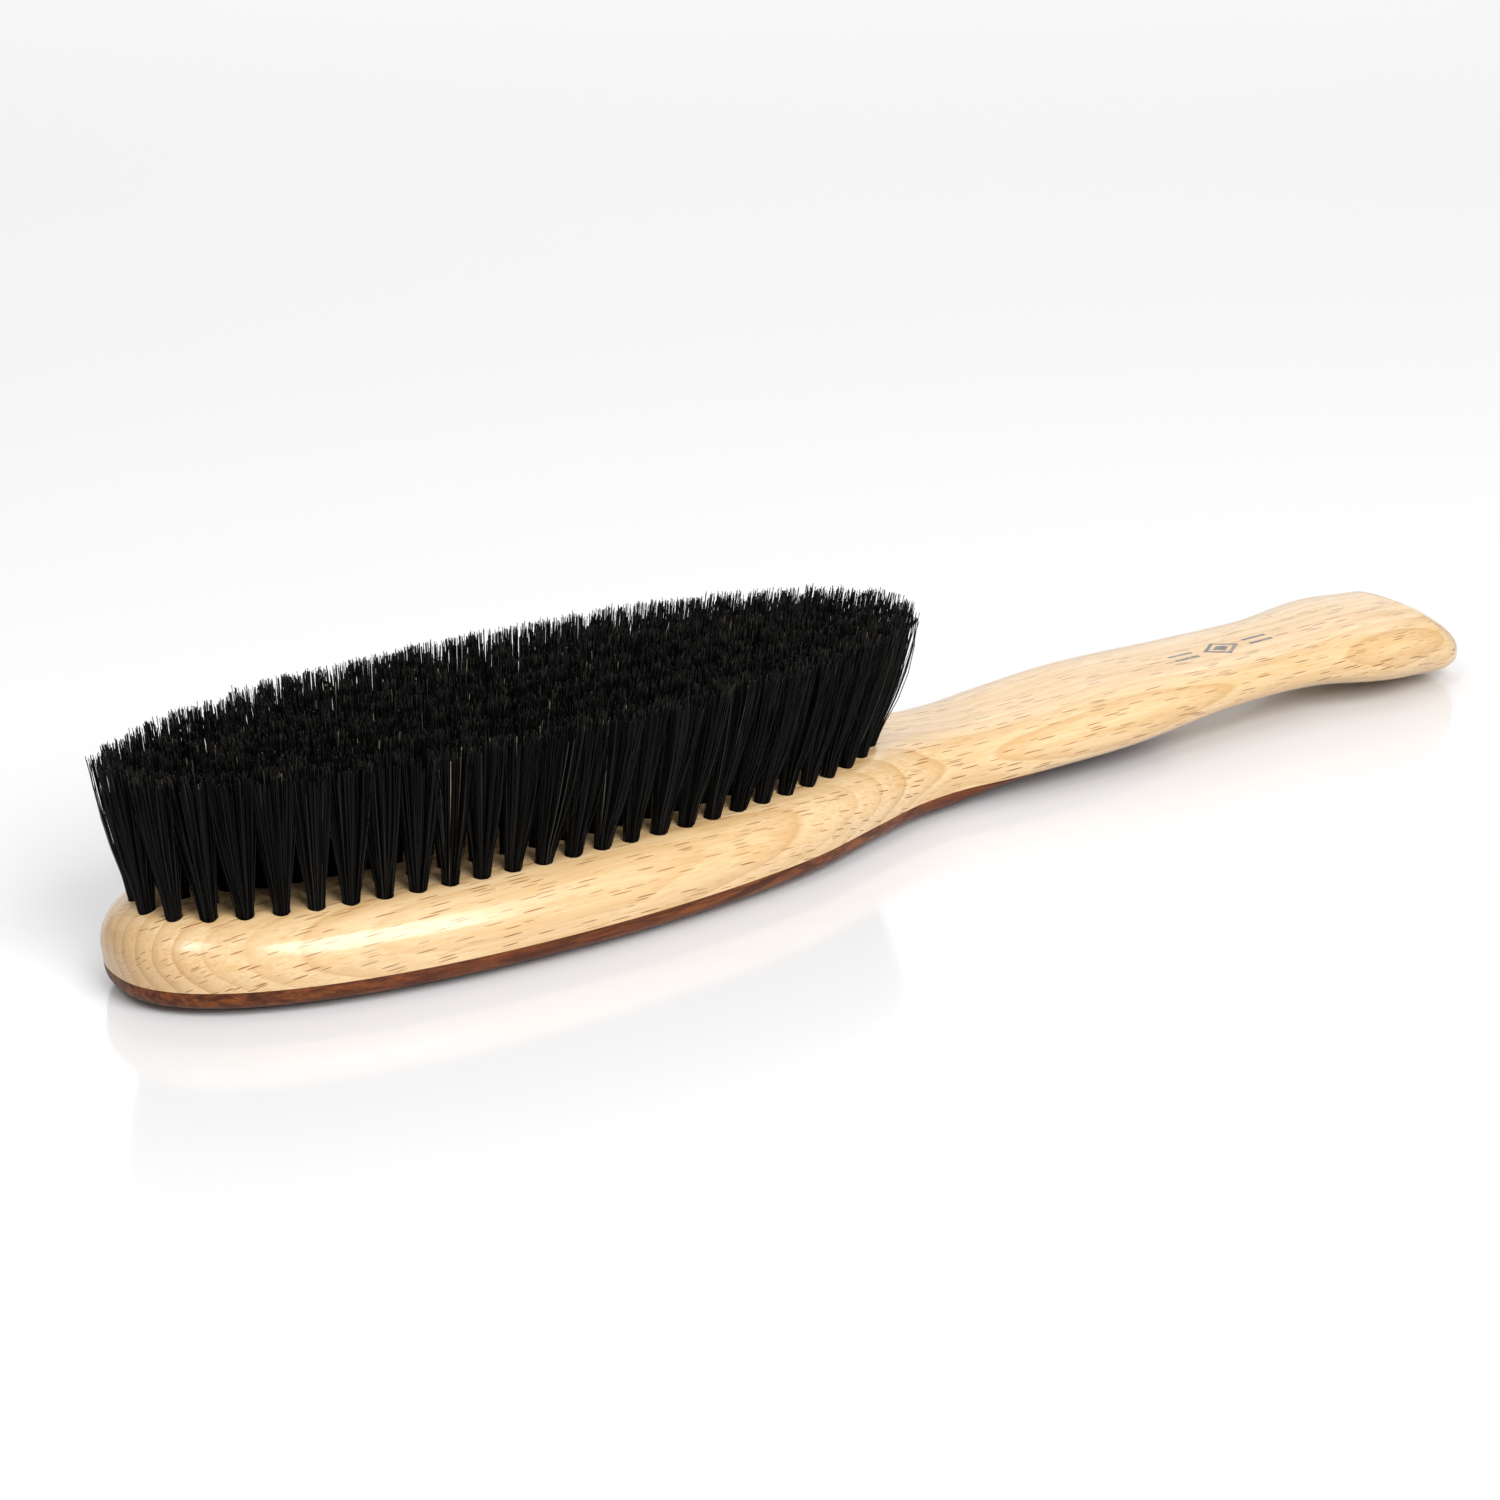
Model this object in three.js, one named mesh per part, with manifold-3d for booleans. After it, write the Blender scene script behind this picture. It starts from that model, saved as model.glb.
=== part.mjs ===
// A wood-backed, hand-drawn clothes brush, lying on its back with the bristles up.
//
// The beech stock is head, neck and handle in one piece. Its face is bored for the tufts, and at
// its glue face a groove runs under each row of bores and opens into them. The drawing wire of the
// row lies in that groove, under the folds of the tufts it holds. A dark hardwood back board is
// glued over the grooves.
//
// Units are millimetres. X runs from the free end of the head to the tip of the handle, Y across
// the brush and Z up. The origin is the middle of the underside's rectangle, on the table.

import * as THREE from 'three';
import { mergeVertices } from 'three/addons/utils/BufferGeometryUtils.js';
import Module from 'manifold-3d';

const wasm = await Module();
wasm.setup();

// ---- driving dimensions ------------------------------------------------------------------

const head_centre = -70; // X of the middle of the bristle field
const head_half_length = 75.5; // head outline, from its middle to the free end
const head_half_width = 28.6; // widest half-width of the head
const head_roundness = 2.28; // exponent of the head's oval, 2 is an ellipse
const face_height = 15; // the bored face
const glue_height = 4.6; // joint between stock and back board
const glue_film = 0.3; // room for the glue between the two woods

const shoulder_width = 8.5; // rounding between the face and the side of the head
const shoulder_start = 7.4; // height at which that rounding begins
const edge_taper = 0.3; // how far the side leans in at the glue joint
const board_edge = 1.4; // height of the back board's lower edge
const board_edge_inset = 1.9; // how far that edge lies inside the outline
const board_corner = [0.7, 2.3]; // inset and height of the point that rounds this edge
const crown_inset = 13; // from here inwards the underside is flat
const crown_middle = 6; // inset of a point half way out on the crowned underside
const shoulder_degrees = [0, 16, 36, 60, 90]; // points of the rounding, from side to face

// Neck and handle, at distances from the head's middle:
// [distance, half-width, underside height, top height]
const stations = [
  [0, 28.6, 0, 15],
  [25, 27.1, 0, 15],
  [45, 23.8, 0, 15],
  [60, 19, 0.2, 15],
  [73, 14.9, 0.4, 14.6],
  [84, 13.4, 0.5, 13.7],
  [94, 14, 1.3, 13.4],
  [105, 15.1, 2, 13.9],
  [125, 15.6, 2.8, 15.2],
  [150, 14.1, 5, 15],
  [172, 13.4, 4.7, 15.2],
  [190, 16.4, 2.7, 15.9],
  [203, 15.2, 1.4, 15.4],
];
const tip_centre = 203; // the handle's round end turns about this distance
const tip_length = 12.5; // from there to the tip
const tip_roundness = 2;
const tip_height = 4.6; // height of the outermost point of the tip
const tip_fall = 0.42; // slope at which the top still falls there
const section_roundness = 2.6; // exponent of the handle's section
const tip_section_roundness = 2.2; // the same above the very tip
// Points of the handle's section, in degrees from straight down to straight up; the head's
// section has as many.
const section_degrees = [-90, -68, -46, -28, -16, -6, 4, 17, 33, 51, 70, 90];
const blend_start = 80; // the head's section becomes the handle's between these
const blend_end = 106;
const board_end = 146; // the back board's tongue ends before this distance
const bare_end = 4; // the wood past the tongue that the glue film still reaches

const end_sections = 9; // sections round a quarter of the free end
const side_steps = 24; // steps from the head's middle to the tip's centre
const tip_sections = 7; // sections round half of the tip
const tip_spread = 2; // length over which those sections start on the middle line

const rings = 3; // oval rows round the field, outside the straight middle row
const ring_half_length = 69.5; // outer ring of bores
const ring_half_width = 20.4;
const ring_roundness = 2.24;
const ring_spacing = ring_half_width / rings;
const tufts_in_ring = [55, 48, 41]; // from the outer ring inwards
const ring_start = [0.25, 0, 0.25]; // pitches from the free end's middle to the first tuft
const tufts_in_middle = 18;

const bore_radius = 1.45;
const bore_sides = 6;
const bore_floor = 6; // each bore opens into the groove of its row
const groove_width = 1.8;
const groove_top = 6.4;
const wire_size = 0.9; // side of the wire's section
const wire_bottom = 4.95;
const stem_half = 0.68; // half the side of a tuft where it stands in its bore
const stem_bottom = 6.3; // the fold of the bristles, over the wire
const stem_top = 15.5; // the tuft starts to spread here
const merge_height = 27; // neighbouring tufts of a row touch from here up
const tip_plane = 39; // trimmed ends of the bristles
const tip_half_length = 77.5; // the bristle field at its trimmed ends
const tip_half_width = 26.5;
const tip_shift = 2; // the trimmed field lies this much towards the handle
const tip_narrowing = 0.08; // how much narrower than the rows' ovals the tips are at the far ends
const row_fill = 0.46; // share of the ring spacing that a row takes to each side
const row_end_gap = 0.25; // half the gap between the ends of neighbouring row parts
const middle_fill = 0.38; // the same share for the middle row
const middle_overhang = 1; // the middle row's band past its last tufts

// ---- small helpers -----------------------------------------------------------------------

// A smooth curve through rows of numbers: column `of` as a function of the first column.
function smooth(rows, of, at) {
  const last = rows.length - 1;
  if (at <= rows[0][0]) return rows[0][of];
  if (at >= rows[last][0]) return rows[last][of];
  const i = rows.findIndex((row) => row[0] > at) - 1;
  const slope = (k) => {
    const before = rows[Math.max(k - 1, 0)];
    const after = rows[Math.min(k + 1, last)];
    return k === 0 ? 0 : (after[of] - before[of]) / (after[0] - before[0]);
  };
  const length = rows[i + 1][0] - rows[i][0];
  const t = (at - rows[i][0]) / length;
  const h = 1 - t;
  return (
    h * h * (1 + 2 * t) * rows[i][of] +
    t * t * (3 - 2 * t) * rows[i + 1][of] +
    h * h * t * length * slope(i) -
    h * t * t * length * slope(i + 1)
  );
}

// A point of an oval with the given half sizes; turn 0 is on -X and a quarter turn on +Y.
function oval(half_length, half_width, roundness, turn) {
  const c = Math.cos(turn);
  const s = Math.sin(turn);
  const power = 2 / roundness;
  return [
    -half_length * Math.sign(c) * Math.abs(c) ** power,
    half_width * Math.sign(s) * Math.abs(s) ** power,
  ];
}

// An indexed triangle mesh collected point by point.
class Shell {
  points = [];
  corners = [];

  point(x, y, z) {
    return this.points.push(x, y, z) / 3 - 1;
  }

  // Two triangles, seen counter-clockwise from outside.
  quad(a, b, c, d) {
    this.corners.push(a, b, c, a, c, d);
  }

  geometry() {
    const made = new THREE.BufferGeometry();
    made.setAttribute('position', new THREE.Float32BufferAttribute(this.points, 3));
    made.setIndex(this.corners);
    return made;
  }
}

// three.js geometry to a manifold solid and back.
function solid(geometry) {
  const plain = geometry.clone();
  plain.deleteAttribute('normal');
  plain.deleteAttribute('uv');
  const merged = mergeVertices(plain, 1e-4);
  return new wasm.Manifold(
    new wasm.Mesh({
      numProp: 3,
      vertProperties: new Float32Array(merged.attributes.position.array),
      triVerts: new Uint32Array(merged.index.array),
    }),
  );
}

function geometry_of(body) {
  const mesh = body.getMesh();
  const made = new THREE.BufferGeometry();
  made.setAttribute('position', new THREE.BufferAttribute(mesh.vertProperties, 3));
  made.setIndex(new THREE.BufferAttribute(mesh.triVerts, 1));
  return made;
}

// A box between two corners.
function block(low, high) {
  const size = high.map((value, i) => value - low[i]);
  const made = new THREE.BoxGeometry(...size);
  made.translate(...low.map((value, i) => value + size[i] / 2));
  return made;
}

// An upright prism with equal sides round (x, y), one corner turned to `turn`.
function prism(x, y, radius, sides, bottom, top, turn) {
  const made = new THREE.CylinderGeometry(radius, radius, top - bottom, sides);
  made.rotateX(Math.PI / 2);
  made.rotateZ(turn);
  made.translate(x, y, (bottom + top) / 2);
  return made;
}

// A strip of rectangular section whose middle line follows the points.
function strip(points, width, bottom, top) {
  const shell = new Shell();
  const columns = points.map(([x, y], i) => {
    const [ax, ay] = points[Math.max(i - 1, 0)];
    const [bx, by] = points[Math.min(i + 1, points.length - 1)];
    const long = Math.hypot(bx - ax, by - ay);
    const side_x = (-(by - ay) / long) * (width / 2);
    const side_y = ((bx - ax) / long) * (width / 2);
    return [
      shell.point(x - side_x, y - side_y, bottom),
      shell.point(x + side_x, y + side_y, bottom),
      shell.point(x + side_x, y + side_y, top),
      shell.point(x - side_x, y - side_y, top),
    ];
  });
  for (let i = 0; i + 1 < columns.length; i += 1) {
    const [here, next] = [columns[i], columns[i + 1]];
    for (let k = 0; k < 4; k += 1) {
      const m = (k + 1) % 4;
      shell.quad(here[k], here[m], next[m], next[k]);
    }
  }
  const [first, last] = [columns[0], columns[columns.length - 1]];
  shell.quad(first[3], first[2], first[1], first[0]);
  shell.quad(last[0], last[1], last[2], last[3]);
  return shell.geometry();
}

// ---- outer shape of the two woods --------------------------------------------------------

// Half of a section, from the middle of the underside to the middle of the top. Each point is
// [share of the reach from the middle line, height].
function head_section(reach, underside, top) {
  const scale = (top - underside) / face_height;
  const crown = crown_inset - board_edge_inset;
  const points = [[reach, 0]];
  for (const inset of [crown_inset, crown_middle, board_edge_inset]) {
    points.push([inset, board_edge * ((crown_inset - inset) / crown) ** 2]);
  }
  points.push(board_corner);
  points.push([edge_taper, glue_height]);
  for (const degrees of shoulder_degrees) {
    const angle = THREE.MathUtils.degToRad(degrees);
    points.push([
      shoulder_width * (1 - Math.cos(angle)),
      shoulder_start + (face_height - shoulder_start) * Math.sin(angle),
    ]);
  }
  points.push([reach, face_height]);
  return points.map(([inset, height]) => [
    Math.max(1 - inset / reach, 0),
    underside + height * scale,
  ]);
}

function handle_section(underside, top, side, roundness) {
  return section_degrees.map((value) => {
    const angle = THREE.MathUtils.degToRad(value);
    const power = 2 / (value < 0 ? section_roundness : roundness);
    const across = Math.abs(Math.cos(angle)) ** power;
    const up = Math.abs(Math.sin(angle)) ** power;
    const limit = value < 0 ? underside : top;
    return [value === -90 || value === 90 ? 0 : across, side + (limit - side) * up];
  });
}

// Every section round one half of the outline: where it starts on the middle line, the point of
// the outline it reaches, and its heights.
function outline() {
  const list = [];
  const pull = 1 - (head_half_width / head_half_length) ** 2;
  for (let i = 0; i < end_sections; i += 1) {
    const turn = (i / end_sections) * (Math.PI / 2);
    const [x, y] = oval(head_half_length, head_half_width, head_roundness, turn);
    list.push({
      middle: x * pull,
      x,
      y,
      underside: 0,
      top: face_height,
      side: shoulder_start,
      blend: 0,
      roundness: section_roundness,
    });
  }
  for (let i = 0; i <= side_steps; i += 1) {
    const x = (i / side_steps) * tip_centre;
    const underside = Math.max(smooth(stations, 2, x), 0);
    const top = smooth(stations, 3, x);
    const blend = THREE.MathUtils.smoothstep(x, blend_start, blend_end);
    const side = (underside + top) / 2;
    const y = smooth(stations, 1, x);
    list.push({ middle: x, x, y, underside, top, side, blend, roundness: section_roundness });
  }
  const [, half_width, underside, top] = stations[stations.length - 1];
  for (let i = 1; i <= tip_sections; i += 1) {
    const turn = (i / tip_sections) * (Math.PI / 2);
    const [x, y] = oval(tip_length, half_width, tip_roundness, Math.PI / 2 + turn);
    const side = THREE.MathUtils.lerp((underside + top) / 2, tip_height, Math.sin(turn));
    const roundness = THREE.MathUtils.lerp(section_roundness, tip_section_roundness, Math.sin(turn));
    list.push({
      middle: tip_centre + (tip_spread * i) / tip_sections,
      x: tip_centre + x,
      y: i === tip_sections ? 0 : y,
      underside,
      top,
      side,
      blend: 1,
      roundness,
    });
  }
  return list;
}

// Past the tip's centre the top keeps falling, less and less towards the outline.
function tip_drop({ side, top }, x, z) {
  return tip_fall * Math.max(x - tip_centre, 0) * Math.max((z - side) / (top - side), 0);
}

// The closed outer skin of the whole wooden body.
function body_skin() {
  const shell = new Shell();
  const sections = outline().map((place) => {
    const reach = Math.hypot(place.x - place.middle, place.y);
    const head = head_section(reach, place.underside, place.top);
    const handle = handle_section(place.underside, place.top, place.side, place.roundness);
    return head.map(([share, height], i) => {
      const part = THREE.MathUtils.lerp(share, handle[i][0], place.blend);
      const x = place.middle + part * (place.x - place.middle);
      const z = THREE.MathUtils.lerp(height, handle[i][1], place.blend);
      return [head_centre + x, part * place.y, z - tip_drop(place, x, z)];
    });
  });
  const halves = [1, -1].map((hand) =>
    sections.map((section) => section.map(([x, y, z]) => shell.point(x, hand * y, z))),
  );
  for (let i = 0; i + 1 < sections.length; i += 1) {
    for (let k = 0; k + 1 < sections[i].length; k += 1) {
      const [far, near] = halves;
      shell.quad(far[i][k], far[i][k + 1], far[i + 1][k + 1], far[i + 1][k]);
      shell.quad(near[i][k], near[i + 1][k], near[i + 1][k + 1], near[i][k + 1]);
    }
  }
  const merged = mergeVertices(shell.geometry(), 1e-4);
  return drop_collapsed(merged);
}

// Triangles that lost a side where points met on the middle line are left out.
function drop_collapsed(geometry) {
  const index = geometry.index.array;
  const kept = [];
  for (let i = 0; i < index.length; i += 3) {
    const [a, b, c] = [index[i], index[i + 1], index[i + 2]];
    if (a !== b && b !== c && c !== a) kept.push(a, b, c);
  }
  geometry.setIndex(kept);
  return geometry;
}

// ---- places of the tufts -----------------------------------------------------------------

// Half sizes of the oval at a ring number; 0 is the outer ring and `rings` the middle line.
function ring_size(ring) {
  return [ring_half_length - ring * ring_spacing, ring_half_width - ring * ring_spacing];
}

// Distance travelled round a ring from the free end, at many equal turns up to a whole round.
function travel(ring) {
  const fine = 4000;
  const lengths = [0];
  let before = oval(...ring_size(ring), ring_roundness, 0);
  for (let i = 1; i <= fine; i += 1) {
    const here = oval(...ring_size(ring), ring_roundness, (i / fine) * 2 * Math.PI);
    lengths.push(lengths[i - 1] + Math.hypot(here[0] - before[0], here[1] - before[1]));
    before = here;
  }
  return lengths;
}

// The turn at which that distance is `length`; a length before the start counts backwards.
function turn_at(lengths, length) {
  const round = lengths[lengths.length - 1];
  const wanted = length < 0 ? length + round : length;
  const i = lengths.findIndex((value) => value > wanted);
  const part = (wanted - lengths[i - 1]) / (lengths[i] - lengths[i - 1]);
  const turn = ((i - 1 + part) / (lengths.length - 1)) * 2 * Math.PI;
  return length < 0 ? turn - 2 * Math.PI : turn;
}

// The tufts of a ring from number `first` up to `last`, going round by the -Y side. Each tuft has
// its place and, for both its ends along the row, the inner and outer corner of its cell.
function ring_row(ring, first, last) {
  const lengths = travel(ring);
  const pitch = lengths[lengths.length - 1] / tufts_in_ring[ring];
  const at = (level, length) => {
    const [x, y] = oval(...ring_size(level), ring_roundness, turn_at(lengths, length));
    return [x, -y];
  };
  const border = (k) => {
    const gap = k === first ? row_end_gap : k === last ? -row_end_gap : 0;
    const length = (k + ring_start[ring] - 0.5) * pitch + gap;
    return [at(ring + row_fill, length), at(ring - row_fill, length)];
  };
  return Array.from({ length: last - first }, (_, i) => ({
    place: at(ring, (first + i + ring_start[ring]) * pitch),
    ends: [border(first + i), border(first + i + 1)],
  }));
}

// The straight middle row, whose width narrows with the oval round it.
function middle_row() {
  const [reach] = ring_size(rings);
  const pitch = (2 * reach) / (tufts_in_middle - 1);
  const [half_length, half_width] = ring_size(rings - middle_fill);
  const border = (k) => {
    const end = reach + middle_overhang;
    const x = THREE.MathUtils.clamp((k - tufts_in_middle / 2) * pitch, -end, end);
    const y = half_width * (1 - Math.abs(x / half_length) ** ring_roundness) ** (1 / ring_roundness);
    return [[x, y], [x, -y]];
  };
  return Array.from({ length: tufts_in_middle }, (_, k) => ({
    place: [(k - (tufts_in_middle - 1) / 2) * pitch, 0],
    ends: [border(k), border(k + 1)],
  }));
}

// The same row told the other way round.
function reversed(row) {
  return row.toReversed().map(({ place, ends }) => ({
    place,
    ends: ends.toReversed().map((corners) => corners.toReversed()),
  }));
}

// Rows 1 to 7 from the -Y edge to the +Y edge, each from the free end to the handle end.
const half = (ring) => Math.ceil(tufts_in_ring[ring] / 2);
const near_rows = tufts_in_ring.map((_, ring) => ring_row(ring, 0, half(ring)));
const far_rows = tufts_in_ring.map((count, ring) => reversed(ring_row(ring, half(ring), count)));
const rows = [...near_rows, middle_row(), ...far_rows.reverse()];

// ---- tufts ------------------------------------------------------------------------------

const splay_x = tip_half_length / (ring_half_length + row_fill * ring_spacing);
const splay_y = tip_half_width / (ring_half_width + row_fill * ring_spacing);

// Where a point of the face plan lies at a height: the bristles lean outwards.
function leaned([x, y], height) {
  const share = (height - face_height) / (tip_plane - face_height);
  const narrower = 1 - tip_narrowing * (x / ring_half_length) ** 2;
  return [
    head_centre + x * (1 + (splay_x - 1) * share) + tip_shift * share,
    y * (1 + (splay_y * narrower - 1) * share),
    height,
  ];
}

// Direction of the row at one of its tufts.
function row_turn(row, k) {
  const [a, b] = [row[Math.max(k - 1, 0)].place, row[Math.min(k + 1, row.length - 1)].place];
  return Math.atan2(b[1] - a[1], b[0] - a[0]);
}

// Part of a row: square stems in the bores, spreading until neighbours meet in one band.
function tuft_band(row, from, to) {
  const shell = new Shell();
  const pulled = (a, b) => {
    const long = Math.hypot(b[0] - a[0], b[1] - a[1]);
    return a.map((value, i) => value + ((b[i] - value) * row_end_gap) / long);
  };
  const column = ([left, right]) => [
    shell.point(...leaned(left, merge_height)),
    shell.point(...leaned(right, merge_height)),
    shell.point(...leaned(right, tip_plane)),
    shell.point(...leaned(left, tip_plane)),
  ];
  const columns = [];
  for (let k = from; k <= to; k += 1) {
    let ends = k < to ? row[k].ends[0] : row[to - 1].ends[1];
    if (k === from && from > 0) ends = ends.map((end, i) => pulled(end, row[k].ends[1][i]));
    if (k === to && to < row.length) ends = ends.map((end, i) => pulled(end, row[k - 1].ends[0][i]));
    columns.push(column(ends));
  }
  for (let k = from; k < to; k += 1) {
    const [here, next] = [columns[k - from], columns[k - from + 1]];
    shell.quad(here[0], here[3], next[3], next[0]);
    shell.quad(here[3], here[2], next[2], next[3]);
    shell.quad(here[2], here[1], next[1], next[2]);
    const turn = row_turn(row, k);
    const ring = (height) => [[-1, 1], [-1, -1], [1, -1], [1, 1]].map(([along, side]) => {
      const [x, y] = row[k].place;
      return shell.point(
        head_centre + x + stem_half * (along * Math.cos(turn) - side * Math.sin(turn)),
        y + stem_half * (along * Math.sin(turn) + side * Math.cos(turn)),
        height,
      );
    });
    const levels = [[here[0], here[1], next[1], next[0]], ring(stem_top), ring(stem_bottom)];
    for (let level = 0; level < 2; level += 1) {
      for (let i = 0; i < 4; i += 1) {
        const m = (i + 1) % 4;
        shell.quad(levels[level][i], levels[level + 1][i], levels[level + 1][m], levels[level][m]);
      }
    }
    shell.quad(levels[2][3], levels[2][2], levels[2][1], levels[2][0]);
  }
  const [first, last] = [columns[0], columns[columns.length - 1]];
  shell.quad(first[0], first[1], first[2], first[3]);
  shell.quad(last[3], last[2], last[1], last[0]);
  return shell.geometry();
}

// ---- wires, grooves and bores -------------------------------------------------------------

// The line of a row on the glue face: its first and last tufts and every place it has bent.
function row_line(row, beyond) {
  const bend = THREE.MathUtils.degToRad(5);
  const line = [];
  let turned = row_turn(row, 0);
  row.forEach(({ place: [x, y] }, k) => {
    const turn = row_turn(row, k);
    const end = k === 0 || k === row.length - 1;
    if (!end && Math.abs(turn - turned) < bend) return;
    const past = k === 0 ? -beyond : k === row.length - 1 ? beyond : 0;
    line.push([head_centre + x + past * Math.cos(turn), y + past * Math.sin(turn)]);
    turned = turn;
  });
  return line;
}

function row_groove(row) {
  const reach = groove_width / 2;
  return solid(strip(row_line(row, reach), groove_width, glue_height - 1, groove_top));
}

function draw_wire(row) {
  return strip(row_line(row, wire_size / 2), wire_size, wire_bottom, wire_bottom + wire_size);
}

function tuft_bore(row, k) {
  const [x, y] = row[k].place;
  const out = face_height + 1;
  return solid(prism(head_centre + x, y, bore_radius, bore_sides, bore_floor, out, row_turn(row, k)));
}

// ---- the woods --------------------------------------------------------------------------

const body = solid(body_skin());
const long = 400;

function stock() {
  const end = head_centre + board_end + bare_end;
  const below = block([-long, -long, -long], [end, long, glue_height + glue_film / 2]);
  let wood = body.subtract(solid(below));
  for (const row of rows) {
    wood = wood.subtract(row_groove(row));
    row.forEach((_, k) => {
      wood = wood.subtract(tuft_bore(row, k));
    });
  }
  return geometry_of(wood);
}

function back_board() {
  const under = block([-long, -long, -long], [head_centre + board_end, long, glue_height - glue_film / 2]);
  return geometry_of(body.intersect(solid(under)));
}

// ---- assembly ---------------------------------------------------------------------------

const beech = { color: 0xdcb27c, roughness: 0.38, metalness: 0 };
const dark_hardwood = { color: 0x5a2a1c, roughness: 0.42, metalness: 0 };
const black_bristle = { color: 0x141313, roughness: 0.6, metalness: 0 };
const brass_wire = { color: 0xb08d4a, roughness: 0.35, metalness: 1 };

const brush = new THREE.Group();
brush.name = 'clothes_brush';

function add(name, geometry, look) {
  const flat = geometry.index ? geometry.toNonIndexed() : geometry;
  flat.computeVertexNormals();
  const mesh = new THREE.Mesh(flat, new THREE.MeshStandardMaterial(look));
  mesh.name = name;
  brush.add(mesh);
}

add('stock', stock(), beech);
add('back_board', back_board(), dark_hardwood);
rows.forEach((row, i) => {
  const middle = Math.ceil(row.length / 2);
  add(`tuft_row_${i + 1}_free_end`, tuft_band(row, 0, middle), black_bristle);
  add(`tuft_row_${i + 1}_handle_end`, tuft_band(row, middle, row.length), black_bristle);
  add(`draw_wire_${i + 1}`, draw_wire(row), brass_wire);
});

export default brush;
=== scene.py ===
"""Looks of the wood-backed clothes brush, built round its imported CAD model.

The brush lies on its back. Lengths in this script are millimetres in the row frame, and are
turned into metres when a mesh is made. The two woods and the bristles follow the same formulas
as the CAD solids, with finer steps and with every bristle drawn.
"""

import bisect
import math
import random

import bmesh
import bpy
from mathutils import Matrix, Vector


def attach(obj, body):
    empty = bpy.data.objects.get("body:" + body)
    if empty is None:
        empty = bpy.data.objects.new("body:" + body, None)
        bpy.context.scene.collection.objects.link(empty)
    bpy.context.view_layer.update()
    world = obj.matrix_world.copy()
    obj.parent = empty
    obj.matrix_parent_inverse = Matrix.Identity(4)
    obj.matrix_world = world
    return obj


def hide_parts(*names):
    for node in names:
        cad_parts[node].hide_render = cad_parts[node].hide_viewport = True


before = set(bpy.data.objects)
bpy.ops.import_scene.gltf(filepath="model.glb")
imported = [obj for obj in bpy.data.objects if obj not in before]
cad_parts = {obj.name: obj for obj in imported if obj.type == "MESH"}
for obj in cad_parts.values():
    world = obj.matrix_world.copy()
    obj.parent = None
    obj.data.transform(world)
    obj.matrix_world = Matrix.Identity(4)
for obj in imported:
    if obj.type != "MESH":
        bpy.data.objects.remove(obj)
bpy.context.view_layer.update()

MM = 0.001

# ---- driving dimensions, as in the CAD ----------------------------------------------------

HEAD_CENTRE = -70.0  # X of the middle of the bristle field
HEAD_HALF_LENGTH = 75.5
HEAD_HALF_WIDTH = 28.6
HEAD_ROUNDNESS = 2.28  # exponent of the head's oval, 2 is an ellipse
FACE_HEIGHT = 15.0
GLUE_HEIGHT = 4.6
SHOULDER_WIDTH = 8.5
SHOULDER_START = 7.4
EDGE_TAPER = 0.3
BOARD_EDGE = 1.4
BOARD_EDGE_INSET = 1.9
BOARD_EDGE_BEND = (0.35, 1.95)  # inset and height of the point that this edge bends towards
CROWN_INSET = 13.0
# Neck and handle, at distances from the head's middle:
# (distance, half-width, underside height, top height)
STATIONS = [
    (0, 28.6, 0, 15),
    (25, 27.1, 0, 15),
    (45, 23.8, 0, 15),
    (60, 19, 0.2, 15),
    (73, 14.9, 0.4, 14.6),
    (84, 13.4, 0.5, 13.7),
    (94, 14, 1.3, 13.4),
    (105, 15.1, 2, 13.9),
    (125, 15.6, 2.8, 15.2),
    (150, 14.1, 5, 15),
    (172, 13.4, 4.7, 15.2),
    (190, 16.4, 2.7, 15.9),
    (203, 15.2, 1.4, 15.4),
]
TIP_CENTRE = 203.0
TIP_LENGTH = 12.5
TIP_ROUNDNESS = 2.0
TIP_HEIGHT = 4.6  # height of the outermost point of the tip
TIP_FALL = 0.42  # slope at which the top falls past the tip's centre
TIP_SPREAD = 2.0
SECTION_ROUNDNESS = 2.6
TIP_SECTION_ROUNDNESS = 2.2
BLEND_START = 80.0  # the head's section becomes the handle's between these
BLEND_END = 106.0
BOARD_END = 146.0
BARE_END = 4.0  # the flat cut for the board runs on this far past the board's end

RINGS = 3  # oval rows of tufts outside the straight middle row
RING_HALF_LENGTH = 69.5
RING_HALF_WIDTH = 20.4
RING_ROUNDNESS = 2.24
RING_SPACING = RING_HALF_WIDTH / RINGS
TUFTS_IN_RING = [55, 48, 41]
RING_START = [0.25, 0.0, 0.25]
TUFTS_IN_MIDDLE = 18
TIP_PLANE = 39.0  # trimmed ends of the bristles
TIP_HALF_LENGTH = 77.5
TIP_HALF_WIDTH = 26.5
TIP_SHIFT = 2.0
TIP_NARROWING = 0.08
ROW_FILL = 0.46

# ---- dimensions of the finer model --------------------------------------------------------

BORE_RADIUS = 1.36
BORE_SIDES = 20
BORE_DEPTH = 6.0
BORE_FLARE = 0.22  # how much wider a bore is at the face
FLARE_DEPTH = 0.25
FLARE_TOP = 0.05  # height over the face where the flare is full
TOOL_TOP = 1.2  # the cutters reach this far out of the face
SEAM_GAP = 0.05  # each wood stops this far from the glue line
BEYOND = 400.0  # outside the whole brush

BUNDLE_RADIUS = 1.25
ROOT_HEIGHT = 13.8  # bristles start here, inside their bore
STEM_TOP = 15.5  # a tuft starts to spread here
STRANDS_OUTER = 150
STRANDS_INNER = 115

RING_TILT = 35.0  # degrees between the growth rings and the upright
RING_SKEW = 1.2  # degrees between the grain and the middle line
RING_PITCH = 2.6


# ---- small helpers ------------------------------------------------------------------------


def lerp(a, b, t):
    return a + (b - a) * t


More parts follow.
